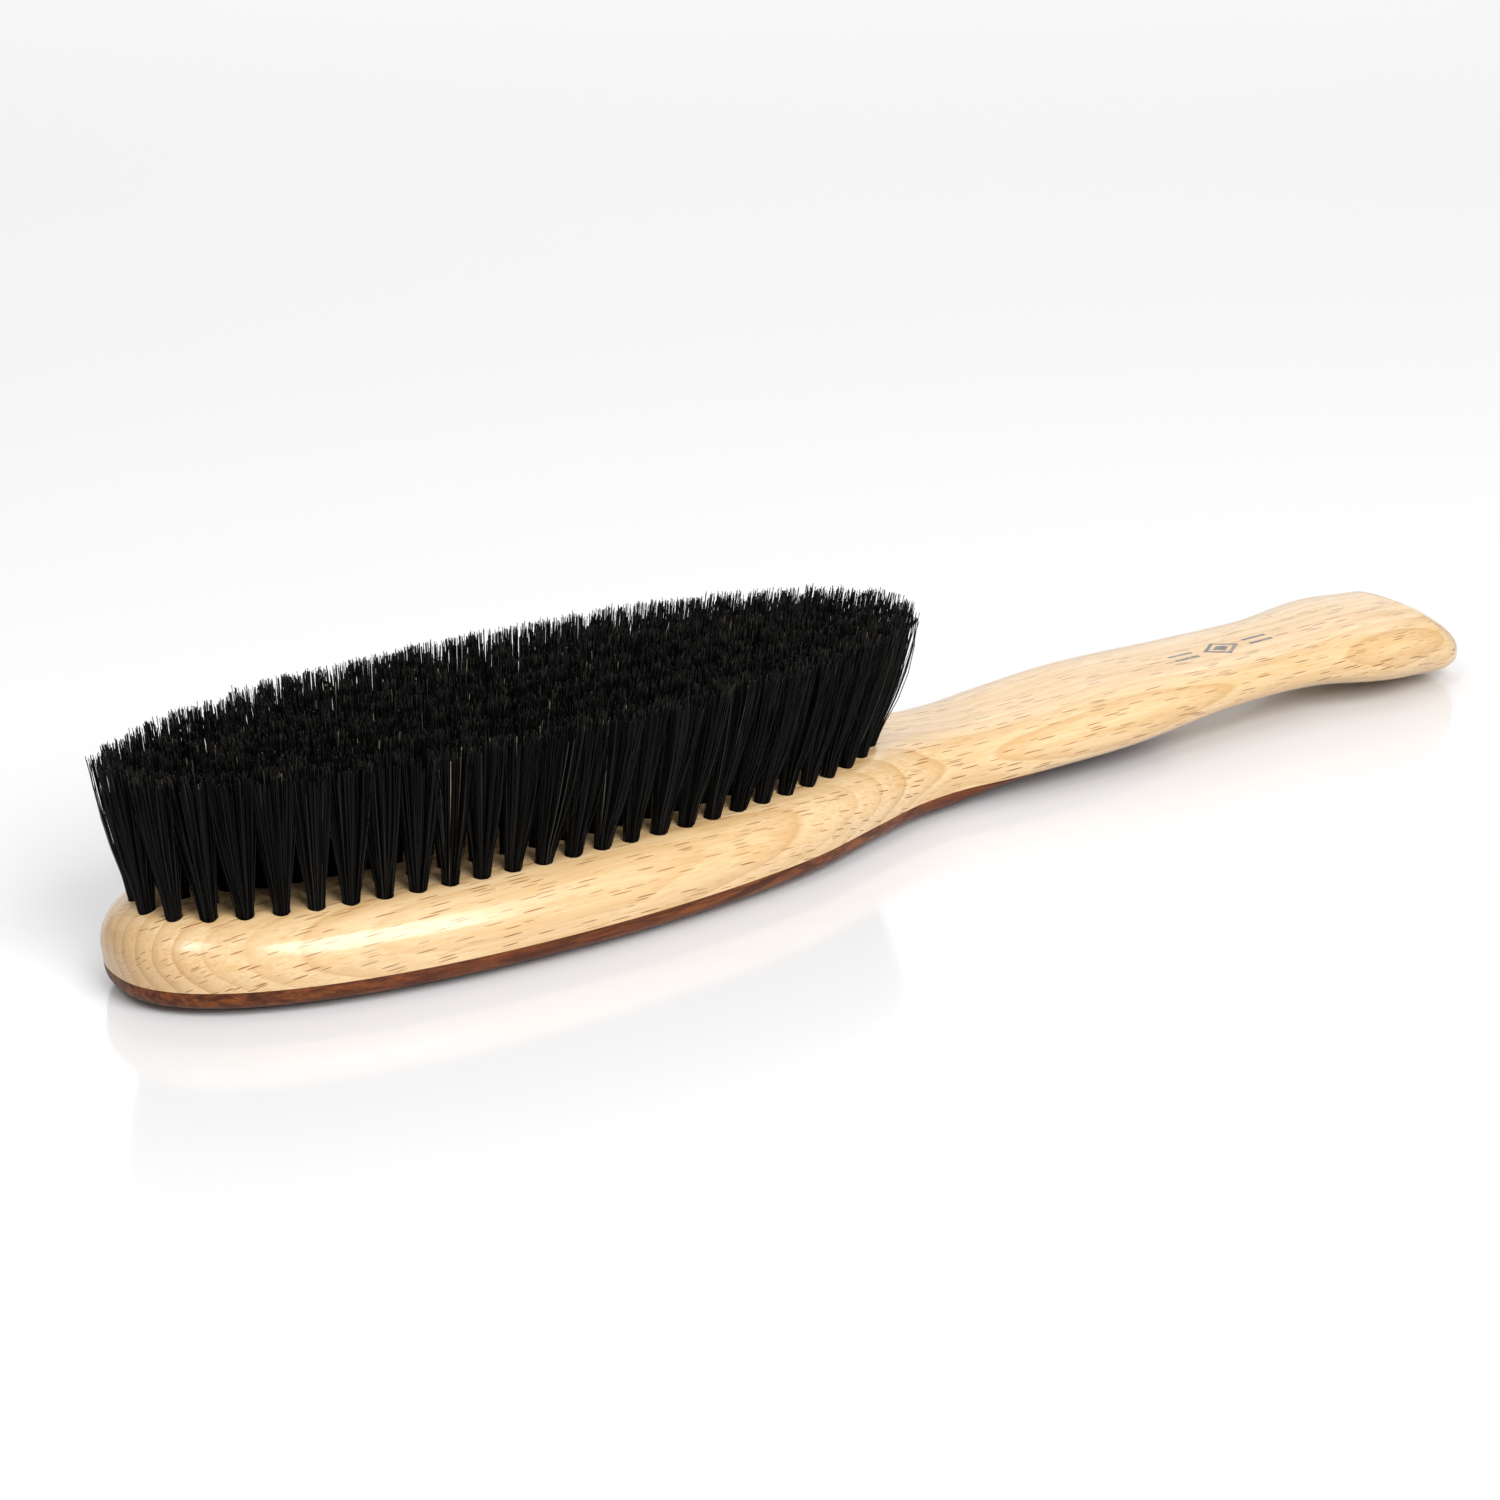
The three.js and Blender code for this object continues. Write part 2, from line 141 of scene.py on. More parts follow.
def smoothstep(value, low, high):
    t = min(max((value - low) / (high - low), 0.0), 1.0)
    return t * t * (3 - 2 * t)


def smooth(rows, of, at):
    """A smooth curve through rows of numbers: column `of` as a function of the first column."""
    if at <= rows[0][0]:
        return rows[0][of]
    if at >= rows[-1][0]:
        return rows[-1][of]
    i = next(k for k, row in enumerate(rows) if row[0] > at) - 1

    def slope(k):
        if k == 0:
            return 0.0
        before = rows[k - 1]
        after = rows[min(k + 1, len(rows) - 1)]
        return (after[of] - before[of]) / (after[0] - before[0])

    length = rows[i + 1][0] - rows[i][0]
    t = (at - rows[i][0]) / length
    h = 1 - t
    ends = h * h * (1 + 2 * t) * rows[i][of] + t * t * (3 - 2 * t) * rows[i + 1][of]
    return ends + h * h * t * length * slope(i) - h * t * t * length * slope(i + 1)


def power(value, exponent):
    return math.copysign(abs(value) ** exponent, value)


def oval(half_length, half_width, roundness, turn):
    """A point of an oval; turn 0 is on -X and a quarter turn on +Y."""
    p = 2 / roundness
    return (-half_length * power(math.cos(turn), p), half_width * power(math.sin(turn), p))


def mesh_object(name, points, faces):
    """A mesh object from points in millimetres."""
    mesh = bpy.data.meshes.new(name)
    mesh.from_pydata([(x * MM, y * MM, z * MM) for x, y, z in points], [], faces)
    mesh.update()
    made = bpy.data.objects.new(name, mesh)
    bpy.context.scene.collection.objects.link(made)
    return made


def shade(mesh, degrees):
    """Smooth shading, with an edge left sharp where its faces turn by more than these degrees."""
    mesh.polygons.foreach_set("use_smooth", [True] * len(mesh.polygons))
    mesh.set_sharp_from_angle(angle=math.radians(degrees))


# ---- outer shape of the two woods ---------------------------------------------------------

# The stretches of a section, from the middle of the underside to the middle of the top. Each has
# its number of steps and the handle's degrees at its two ends.
SPANS = [
    ("flat", 3, -90, -68),
    ("crown", 6, -68, -28),
    ("corner", 6, -28, -6),
    ("side", 2, -6, 4),
    ("shoulder", 14, 4, 70),
    ("face", 4, 70, 90),
]
END_STEPS = 44  # sections round a quarter of the free end
NECK_STEPS = 110  # from the head's middle to the tip's centre
TIP_STEPS = 26  # round half of the tip
FLAT_LIMIT = 0.96  # the crown takes at most this share of a short section
SHARP_DEGREES = 35


def head_point(span, t, reach):
    """(inset from the outline, height) of the head's section."""
    flat_inset = min(CROWN_INSET, FLAT_LIMIT * reach)
    if span == "flat":
        return lerp(reach, flat_inset, t), 0.0
    if span == "crown":
        return lerp(flat_inset, BOARD_EDGE_INSET, t), BOARD_EDGE * t**2
    if span == "corner":
        start, middle, end = (1 - t) ** 2, 2 * t * (1 - t), t * t
        inset = start * BOARD_EDGE_INSET + middle * BOARD_EDGE_BEND[0] + end * EDGE_TAPER
        return inset, start * BOARD_EDGE + middle * BOARD_EDGE_BEND[1] + end * GLUE_HEIGHT
    if span == "side":
        return lerp(EDGE_TAPER, 0, t), lerp(GLUE_HEIGHT, SHOULDER_START, t)
    if span == "shoulder":
        angle = t * math.pi / 2
        rise = (FACE_HEIGHT - SHOULDER_START) * math.sin(angle)
        return SHOULDER_WIDTH * (1 - math.cos(angle)), SHOULDER_START + rise
    return lerp(SHOULDER_WIDTH, reach, t * t), FACE_HEIGHT


def section(place):
    """The points of one half section: (share of the reach, height)."""
    reach = math.hypot(place["x"] - place["middle"], place["y"])
    scale = (place["top"] - place["underside"]) / FACE_HEIGHT
    points = []
    for name, steps, low, high in SPANS:
        for i in range(0 if name == "flat" else 1, steps + 1):
            t = i / steps
            inset, height = head_point(name, t, reach)
            share = max(1 - inset / reach, 0.0)
            degrees = lerp(low, high, t)
            angle = math.radians(degrees)
            p = 2 / (SECTION_ROUNDNESS if degrees < 0 else place["roundness"])
            across = abs(math.cos(angle)) ** p
            if abs(degrees) == 90:
                across = 0.0
            limit = place["underside"] if degrees < 0 else place["top"]
            rise = place["side"] + (limit - place["side"]) * abs(math.sin(angle)) ** p
            head = place["underside"] + height * scale
            points.append(
                (lerp(share, across, place["blend"]), lerp(head, rise, place["blend"]))
            )
    return points


def outline():
    """Every section round one half of the outline."""
    places = []
    pull = 1 - (HEAD_HALF_WIDTH / HEAD_HALF_LENGTH) ** 2
    for i in range(END_STEPS):
        turn = i / END_STEPS * math.pi / 2
        x, y = oval(HEAD_HALF_LENGTH, HEAD_HALF_WIDTH, HEAD_ROUNDNESS, turn)
        places.append(
            dict(middle=x * pull, x=x, y=y, underside=0.0, top=FACE_HEIGHT,
                 side=SHOULDER_START, blend=0.0, roundness=SECTION_ROUNDNESS)
        )
    for i in range(NECK_STEPS + 1):
        x = i / NECK_STEPS * TIP_CENTRE
        underside = max(smooth(STATIONS, 2, x), 0.0)
        top = smooth(STATIONS, 3, x)
        places.append(
            dict(middle=x, x=x, y=smooth(STATIONS, 1, x), underside=underside, top=top,
                 side=(underside + top) / 2, blend=smoothstep(x, BLEND_START, BLEND_END),
                 roundness=SECTION_ROUNDNESS)
        )
    _, half_width, underside, top = STATIONS[-1]
    for i in range(1, TIP_STEPS + 1):
        turn = i / TIP_STEPS * math.pi / 2
        x, y = oval(TIP_LENGTH, half_width, TIP_ROUNDNESS, math.pi / 2 + turn)
        s = math.sin(turn)
        places.append(
            dict(middle=TIP_CENTRE + TIP_SPREAD * i / TIP_STEPS, x=TIP_CENTRE + x,
                 y=0.0 if i == TIP_STEPS else y, underside=underside, top=top,
                 side=lerp((underside + top) / 2, TIP_HEIGHT, s),
                 blend=1.0, roundness=lerp(SECTION_ROUNDNESS, TIP_SECTION_ROUNDNESS, s))
        )
    return places


def body_skin(name):
    """The closed outer skin of the whole wooden body, as an object."""
    points, faces = [], []
    for hand in (1, -1):
        rows = []
        for place in outline():
            row = []
            for share, z in section(place):
                x = place["middle"] + share * (place["x"] - place["middle"])
                upper = max((z - place["side"]) / (place["top"] - place["side"]), 0.0)
                z -= TIP_FALL * max(x - TIP_CENTRE, 0.0) * upper
                points.append((HEAD_CENTRE + x, hand * share * place["y"], z))
                row.append(len(points) - 1)
            rows.append(row)
        for here, after in zip(rows, rows[1:]):
            for k in range(len(here) - 1):
                face = (here[k], here[k + 1], after[k + 1], after[k])
                faces.append(face if hand > 0 else face[::-1])
    made = mesh_object(name, points, faces)
    clean(made.data)
    return made


def clean(mesh):
    """Joins points that lie together and drops what collapses."""
    b = bmesh.new()
    b.from_mesh(mesh)
    bmesh.ops.remove_doubles(b, verts=b.verts, dist=0.002 * MM)
    bmesh.ops.dissolve_degenerate(b, edges=b.edges, dist=0.0005 * MM)
    bmesh.ops.recalc_face_normals(b, faces=b.faces)
    b.to_mesh(mesh)
    b.free()
    mesh.update()


def cut(target, tool, operation):
    """Applies a boolean between two closed meshes and removes the tool."""
    modifier = target.modifiers.new("cut", "BOOLEAN")
    modifier.operation = operation
    modifier.solver = "MANIFOLD"
    modifier.object = tool
    graph = bpy.context.evaluated_depsgraph_get()
    made = bpy.data.meshes.new_from_object(target.evaluated_get(graph))
    target.modifiers.clear()
    target.data = made
    bpy.data.objects.remove(tool)


def block_below(end, height):
    """A block that holds everything before the X `end` and under the height."""
    xs, ys, zs = (-BEYOND, end), (-BEYOND, BEYOND), (-BEYOND, height)
    corners = [(x, y, z) for z in zs for y in ys for x in xs]
    faces = [(0, 2, 3, 1), (4, 5, 7, 6), (0, 1, 5, 4), (2, 6, 7, 3), (0, 4, 6, 2), (1, 3, 7, 5)]
    return mesh_object("tool", corners, faces)


# ---- places of the tufts ------------------------------------------------------------------


def ring_size(ring):
    """Half sizes of the oval at a ring number; 0 is the outer ring and RINGS the middle line."""
    return RING_HALF_LENGTH - ring * RING_SPACING, RING_HALF_WIDTH - ring * RING_SPACING


def travel(ring):
    """Distance travelled round a ring from the free end at many equal turns."""
    fine = 2400
    lengths = [0.0]
    before = oval(*ring_size(ring), RING_ROUNDNESS, 0)
    for i in range(1, fine + 1):
        here = oval(*ring_size(ring), RING_ROUNDNESS, i / fine * 2 * math.pi)
        lengths.append(lengths[-1] + math.dist(here, before))
        before = here
    return lengths


def turn_at(lengths, length):
    """The turn at which that distance is `length`."""
    total = lengths[-1]
    wanted = length % total
    i = bisect.bisect_right(lengths, wanted)
    part = (wanted - lengths[i - 1]) / (lengths[i] - lengths[i - 1])
    return (i - 1 + part) / (len(lengths) - 1) * 2 * math.pi


def ring_tufts(ring):
    """Tufts round a ring, from the free end by the -Y side."""
    lengths = travel(ring)
    count = TUFTS_IN_RING[ring]
    pitch = lengths[-1] / count
    tufts = []
    for k in range(count):
        turn = turn_at(lengths, (k + RING_START[ring]) * pitch)
        x, y = oval(*ring_size(ring), RING_ROUNDNESS, turn)
        tufts.append((x, -y))
    return tufts, pitch


def all_rows():
    """Rows 1 to 7 from -Y to +Y, each from the free end to the handle end, with their pitch."""
    near, far = [], []
    for ring, count in enumerate(TUFTS_IN_RING):
        tufts, pitch = ring_tufts(ring)
        half = math.ceil(count / 2)
        near.append((tufts[:half], pitch, ring))
        far.append((tufts[half:][::-1], pitch, ring))
    reach = ring_size(RINGS)[0]
    pitch = 2 * reach / (TUFTS_IN_MIDDLE - 1)
    middle = [((k - (TUFTS_IN_MIDDLE - 1) / 2) * pitch, 0.0) for k in range(TUFTS_IN_MIDDLE)]
    return [*near, (middle, pitch, RINGS), *far[::-1]]


def row_turn(row, k):
    """Direction of the row at one of its tufts."""
    a = row[max(k - 1, 0)]
    b = row[min(k + 1, len(row) - 1)]
    return math.atan2(b[1] - a[1], b[0] - a[0])


SPLAY_X = TIP_HALF_LENGTH / (RING_HALF_LENGTH + ROW_FILL * RING_SPACING)
SPLAY_Y = TIP_HALF_WIDTH / (RING_HALF_WIDTH + ROW_FILL * RING_SPACING)


def leaned(x, y, share):
    """Where a point of the face plan lies at a share of the bristles' height."""
    narrower = 1 - TIP_NARROWING * (x / RING_HALF_LENGTH) ** 2
    return (
        HEAD_CENTRE + x * (1 + (SPLAY_X - 1) * share) + TIP_SHIFT * share,
        y * (1 + (SPLAY_Y * narrower - 1) * share),
    )


# ---- the woods ----------------------------------------------------------------------------

ROWS = all_rows()


def bore_tool():
    """One object with a cutter for every bore, flared a little at the face."""
    levels = [
        (FACE_HEIGHT - BORE_DEPTH, BORE_RADIUS),
        (FACE_HEIGHT - FLARE_DEPTH, BORE_RADIUS),
        (FACE_HEIGHT + FLARE_TOP, BORE_RADIUS + BORE_FLARE),
        (FACE_HEIGHT + TOOL_TOP, BORE_RADIUS + BORE_FLARE),
    ]
    top = (len(levels) - 1) * BORE_SIDES
    points, faces = [], []
    for row, _, _ in ROWS:
        for x, y in row:
            start = len(points)
            for z, radius in levels:
                for i in range(BORE_SIDES):
                    a = i / BORE_SIDES * 2 * math.pi
                    points.append(
                        (HEAD_CENTRE + x + radius * math.cos(a), y + radius * math.sin(a), z)
                    )
            for level in range(len(levels) - 1):
                for i in range(BORE_SIDES):
                    j = (i + 1) % BORE_SIDES
                    a, b = start + level * BORE_SIDES, start + (level + 1) * BORE_SIDES
                    faces.append((a + i, a + j, b + j, b + i))
            faces.append(tuple(start + i for i in reversed(range(BORE_SIDES))))
            faces.append(tuple(start + top + i for i in range(BORE_SIDES)))
    return mesh_object("tool", points, faces)


def make_stock():
    made = body_skin("beech_stock")
    end = HEAD_CENTRE + BOARD_END + BARE_END
    cut(made, block_below(end, GLUE_HEIGHT + SEAM_GAP), "DIFFERENCE")
    cut(made, bore_tool(), "DIFFERENCE")
    shade(made.data, SHARP_DEGREES)
    return made


def make_board():
    made = body_skin("hardwood_back_board")
    cut(made, block_below(HEAD_CENTRE + BOARD_END, GLUE_HEIGHT - SEAM_GAP), "INTERSECT")
    shade(made.data, SHARP_DEGREES)
    return made


# ---- materials ----------------------------------------------------------------------------


class Look:
    """A material under construction, with short ways to add and link its nodes."""

    def __init__(self, name, **constants):
        self.material = bpy.data.materials.new(name)
        self.material.use_nodes = True
        self.tree = self.material.node_tree
        self.shader = self.tree.nodes["Principled BSDF"]
        for key, value in constants.items():
            self.shader.inputs[key.replace("_", " ")].default_value = value

    def add(self, kind, inputs, **settings):
        made = self.tree.nodes.new("ShaderNode" + kind)
        for key, value in settings.items():
            setattr(made, key, value)
        for key, value in inputs.items():
            self.feed(made.inputs[key], value)
        return made

    def feed(self, socket, value):
        if isinstance(value, bpy.types.NodeSocket):
            self.tree.links.new(value, socket)
        else:
            socket.default_value = value

    def math(self, operation, a, b=0.0):
        return self.add("Math", {0: a, 1: b}, operation=operation).outputs[0]

    def away(self, value, centre):
        """How far the value is from the centre."""
        return self.math("ABSOLUTE", self.math("SUBTRACT", value, centre))

    def split(self, vector):
        return self.add("SeparateXYZ", {0: vector}).outputs

    def stretched(self, vector, factors):
        return self.add("VectorMath", {0: vector, 1: factors}, operation="MULTIPLY").outputs[0]

    def turned(self, vector, degrees):
        angles = [math.radians(value) for value in degrees]
        inputs = {"Vector": vector, "Rotation": angles}
        return self.add("VectorRotate", inputs, rotation_type="EULER_XYZ").outputs[0]

    def noise(self, vector, factors, detail=2.0, roughness=0.5):
        """Noise whose features are about 1/factor millimetres long in each direction."""
        spot = self.stretched(vector, factors)
        inputs = {"Vector": spot, "Scale": 1.0, "Detail": detail, "Roughness": roughness}
        return self.add("TexNoise", inputs).outputs[0]

    def span(self, value, low, high, to_low=0.0, to_high=1.0):
        """value mapped smoothly from low..high to to_low..to_high."""
        inputs = {0: value, 1: low, 2: high, 3: to_low, 4: to_high}
        return self.add("MapRange", inputs, interpolation_type="SMOOTHSTEP").outputs[0]

    def ramp(self, value, stops):
        made = self.add("ValToRGB", {0: value})
        elements = made.color_ramp.elements
        while len(elements) < len(stops):
            elements.new(0.5)
        for element, (position, colour) in zip(elements, stops):
            element.position = position
            element.color = (*colour, 1)
        return made.outputs[0]

    def mix(self, share, a, b):
        made = self.add("Mix", {0: share}, data_type="RGBA", blend_type="MIX")
        for at, value in ((6, a), (7, b)):
            linked = isinstance(value, bpy.types.NodeSocket)
            self.feed(made.inputs[at], value if linked else (*value, 1))
        return made.outputs[2]

    def bump(self, height, strength, distance, socket="Normal"):
        inputs = {"Height": height, "Strength": strength, "Distance": distance * MM}
        self.feed(self.shader.inputs[socket], self.add("Bump", inputs).outputs[0])

    def place(self):
        """The point in millimetres, in the row frame."""
        spot = self.add("TexCoord", {}).outputs["Object"]
        return self.stretched(spot, (1 / MM, 1 / MM, 1 / MM))


def flecks(look, grain, cell, low, high):
    """Spindles along the grain, one in each cell of that size, cut wherever the surface lies."""
    spot = look.stretched(grain, tuple(1 / size for size in cell))
    cells = look.add("TexVoronoi", {"Vector": spot, "Scale": 1.0, "Randomness": 0.9},
                     voronoi_dimensions="3D")
    return look.span(cells.outputs["Distance"], low, high, 1.0, 0.0)


INK_PLACE = (85.0, -2.6)  # X and Y of the device's middle
DIAMOND_SIZE = (4.6, 3.1)  # half length and half width
DIAMOND_RIM = (0.70, 0.98)  # shares of that size between which its rim lies
DIAMOND_HEART = 0.42
BAR_ENDS = (6.4, 12.4)  # distances of a bar's ends from the middle of the device
BAR_SIDE = 1.1  # distance of a bar from the device's long axis
BAR_HALF_WIDTH = 0.36


def ink_mark(look, point):
    """A plain maker's device in grey ink on the handle: a diamond between two pairs of bars."""
    x, y, z = look.split(point)
    reach = look.away(x, INK_PLACE[0])
    side = look.away(y, INK_PLACE[1])
    diamond = look.math("ADD", look.math("DIVIDE", reach, DIAMOND_SIZE[0]),
                        look.math("DIVIDE", side, DIAMOND_SIZE[1]))
    inner, outer = DIAMOND_RIM
    rim = look.math("MULTIPLY", look.span(diamond, outer, outer + 0.04, 1, 0),
                    look.span(diamond, inner, inner + 0.05))
    heart = look.span(diamond, DIAMOND_HEART, DIAMOND_HEART + 0.04, 1, 0)
    off = look.away(side, BAR_SIDE)
    start, end = BAR_ENDS
    bars = look.math("MULTIPLY", look.span(off, BAR_HALF_WIDTH, BAR_HALF_WIDTH + 0.06, 1, 0),
                     look.span(reach, start, start + 0.1))
    bars = look.math("MULTIPLY", bars, look.span(reach, end, end + 0.1, 1, 0))
    mark = look.math("MAXIMUM", look.math("MAXIMUM", rim, heart), bars)
    rubbed = look.noise(point, (1.1, 1.1, 1.1), detail=4.0, roughness=0.7)
    mark = look.math("MULTIPLY", mark, look.span(rubbed, 0.34, 0.5, 0.55, 1.0))
    return look.math("MULTIPLY", mark, look.span(z, 11.9, 12.1))


def growth_rings(look, grain):
    """How dark the late wood of the growth rings is at a point."""
    _, depth, across = look.split(grain)
    drift = look.noise(grain, (0.016, 0.05, 0.05))
    wander = look.math("MULTIPLY", look.math("SUBTRACT", drift, 0.5), 5.0)
    bowed = look.math("MULTIPLY", look.math("MULTIPLY", across, across), 0.006)
    place = look.math("ADD", look.math("ADD", depth, wander), bowed)
    ring = look.math("DIVIDE", place, RING_PITCH)
    growth = look.math("FRACT", ring)
    year = look.math("FLOOR", ring)
    luck = look.add("TexWhiteNoise", {"W": year}, noise_dimensions="1D").outputs[0]
    contrast = look.math("ADD", look.math("MULTIPLY", luck, 0.6), 0.4)
    shades = [(0.0, 0.0), (0.45, 0.15), (0.8, 0.6), (0.93, 1.0), (1.0, 0.0)]
    dark = look.ramp(growth, [(at, (value, value, value)) for at, value in shades])
    return look.math("MULTIPLY", dark, contrast)


def beech_material():
    """Steamed beech under satin lacquer, with growth rings that run along the brush."""
    look = Look("lacquered_beech", Coat_Weight=0.85, Coat_Roughness=0.18, Coat_IOR=1.5,
                Specular_IOR_Level=0.35)
    point = look.place()
    lie = (RING_TILT, 0, RING_SKEW)
    grain = look.turned(point, lie)
    rings = growth_rings(look, grain)
    fibre = look.noise(grain, (0.09, 2.6, 2.6), detail=3.0, roughness=0.65)
    streak = look.noise(grain, (0.025, 0.7, 0.7), detail=3.0, roughness=0.6)
    cloud = look.noise(grain, (0.02, 0.09, 0.09))
    wood = look.mix(cloud, (0.76, 0.565, 0.335), (0.70, 0.485, 0.245))
    wood = look.mix(look.math("MULTIPLY", rings, 0.8), wood, (0.50, 0.28, 0.095))
    wood = look.mix(look.span(fibre, 0.35, 0.75, 0.0, 0.45), wood, (0.52, 0.30, 0.11))
    wood = look.mix(look.span(streak, 0.42, 0.72, 0.0, 0.5), wood, (0.55, 0.33, 0.12))

    # End grain is darker, and flecks are fainter where the surface cuts across the rings.
    normal = look.add("NewGeometry", {}).outputs["Normal"]
    along, depth, _ = look.split(look.turned(normal, lie))
    end_grain = look.span(look.math("ABSOLUTE", along), 0.35, 0.95, 0.0, 0.55)
    end_wood = look.mix(look.math("MULTIPLY", rings, 0.9), (0.52, 0.30, 0.12), (0.30, 0.145, 0.045))
    wood = look.mix(end_grain, wood, end_wood)
    flat_sawn = look.span(look.math("ABSOLUTE", depth), 0.2, 0.7, 0.4, 1.0)
    uneven = look.span(look.noise(grain, (0.05, 0.3, 0.3)), 0.35, 0.65, 0.55, 1.0)
    short_flecks = flecks(look, grain, (6.5, 2.2, 0.4), 0.17, 0.21)
    long_flecks = flecks(look, grain, (9.5, 2.7, 0.46), 0.205, 0.225)
    share = look.math("MULTIPLY", long_flecks, look.math("MULTIPLY", uneven, flat_sawn))
    wood = look.mix(look.math("MULTIPLY", short_flecks, 0.4), wood, (0.40, 0.19, 0.05))
    wood = look.mix(share, wood, (0.25, 0.10, 0.022))
    wood = look.mix(ink_mark(look, point), wood, (0.055, 0.058, 0.07))
    look.feed(look.shader.inputs["Base Color"], wood)

    smudge = look.noise(point, (0.05, 0.05, 0.05), detail=3.0, roughness=0.6)
    look.feed(look.shader.inputs["Roughness"], look.span(smudge, 0.3, 0.7, 0.36, 0.52))
    pores = look.math("MULTIPLY", look.math("SUBTRACT", fibre, long_flecks), 0.5)
    look.bump(pores, 0.25, 0.05)
    lacquer = look.noise(grain, (0.5, 1.6, 1.6), detail=3.0, roughness=0.6)
    look.bump(look.math("ADD", pores, lacquer), 0.1, 0.05, "Coat Normal")
    return look.material


def dark_material():
    """Red-brown hardwood under a thinner lacquer, with short dark pores along the grain."""
    look = Look("lacquered_dark_hardwood", Coat_Weight=0.1, Coat_Roughness=0.25, Coat_IOR=1.45,
                Specular_IOR_Level=0.15)
    grain = look.turned(look.place(), (12, 1.0, -1.5))
    drift = look.noise(grain, (0.012, 0.07, 0.07), detail=3.0)
    stripe = look.noise(grain, (0.06, 0.8, 0.8), detail=4.0, roughness=0.65)
    fibre = look.noise(grain, (0.12, 3.2, 3.2), roughness=0.6)
    pores = flecks(look, grain, (3.4, 0.8, 0.5), 0.12, 0.22)
    wood = look.mix(look.span(stripe, 0.36, 0.64), (0.05, 0.011, 0.002), (0.22, 0.062, 0.011))
    wood = look.mix(look.span(drift, 0.3, 0.7, 0.0, 0.5), wood, (0.125, 0.032, 0.015))
    wood = look.mix(look.span(fibre, 0.4, 0.75, 0.0, 0.5), wood, (0.045, 0.012, 0.007))
    wood = look.mix(look.math("MULTIPLY", pores, 0.6), wood, (0.02, 0.007, 0.004))
    look.feed(look.shader.inputs["Base Color"], wood)
    look.feed(look.shader.inputs["Roughness"], look.span(drift, 0.3, 0.7, 0.36, 0.5))
    look.bump(look.math("SUBTRACT", fibre, pores), 0.25, 0.05)
    return look.material


def bristle_material():
    """Black boar bristle: each strand has its own tone, and a few are brown or fair."""
    look = Look("black_bristle", Specular_IOR_Level=0.12, IOR=1.5)
    point = look.place()
    tone = look.add("Attribute", {}, attribute_name="strand").outputs["Fac"]
    colour = look.ramp(tone, [
        (0.0, (0.0012, 0.0012, 0.0012)),
        (0.8, (0.0028, 0.0027, 0.0025)),
        (0.95, (0.007, 0.0066, 0.006)),
        (0.98, (0.020, 0.018, 0.015)),
        (0.995, (0.045, 0.038, 0.030)),
        (1.0, (0.36, 0.29, 0.20)),
    ])
    # Painted highlight: strand ends near the tip plane are painted a lighter grey for the glints of
    # the trimmed tips, brighter on some strands than on others.
    painted_tip_glint = look.span(look.split(point)[2], TIP_PLANE - 1.2, TIP_PLANE - 0.2, 0.0, 0.45)
    luck = look.math("FRACT", look.math("MULTIPLY", tone, 29.0))
    bright = look.span(luck, 0.7, 1.0, 0.25, 1.0)
    colour = look.mix(look.math("MULTIPLY", painted_tip_glint, bright), colour, (0.075, 0.068, 0.058))
    patches = look.noise(point, (1.5, 1.5, 0.9))
    colour = look.mix(look.span(patches, 0.4, 0.8, 0.0, 0.3), colour, (0.006, 0.0055, 0.005))
    look.feed(look.shader.inputs["Base Color"], colour)
    look.feed(look.shader.inputs["Roughness"], look.span(tone, 0.0, 0.9, 0.30, 0.65))
    look.bump(look.noise(point, (3.0, 3.0, 9.0), detail=1.0), 0.2, 0.02)
    return look.material


def wire_material():
    """Plain drawn brass, a little dulled."""
    look = Look("drawn_brass", Metallic=1.0)
    point = look.place()
    dull = look.noise(point, (0.4, 0.4, 0.4), detail=3.0)
    brass = look.mix(dull, (0.62, 0.44, 0.18), (0.38, 0.25, 0.1))
    look.feed(look.shader.inputs["Base Color"], brass)
    look.feed(look.shader.inputs["Roughness"], look.span(dull, 0.3, 0.7, 0.28, 0.5))
    look.bump(look.noise(point, (0.3, 6.0, 6.0)), 0.2, 0.02)
    return look.material


# ---- bristles -----------------------------------------------------------------------------

CLUMPS = 7  # tufts part into this many clumps at their ends
CLUMP_LIFT = 0.32  # spread of the clumps' heights
CLUMP_PULL = 0.45  # at most this share of the way to the clump's middle
TUFT_LEAN = 0.35
TIP_DROP = 0.3  # mean height of the ends below the tip plane
TIP_LIMIT = 0.8  # no end stands higher than this over the tip plane
HEIGHT_SPREAD = 0.32
EDGE_DROP = 0.7  # ends at a tuft's edges are this much lower
SPREAD_ALONG = 0.72  # share of the pitch that a tuft's ends take to each side
SPREAD_ACROSS = 0.56  # the same across the row
END_SPREAD = 0.25
STRAY_SHARE = 0.045
STRAY_FACTOR = 4.0
SHORT_SHARE = 0.12
SHORT_BY = (0.3, 2.0)
BOW = (0.35, 0.22)  # mean and spread
STRAND_WIDTH = (0.15, 0.23)
STRAND_TAPER = 0.25
FULL_TURN = 6.28


def disc_point(rng):
    """A random point of the unit disc."""
    r = math.sqrt(rng.random())
    a = rng.random() * 2 * math.pi
    return r * math.cos(a), r * math.sin(a)


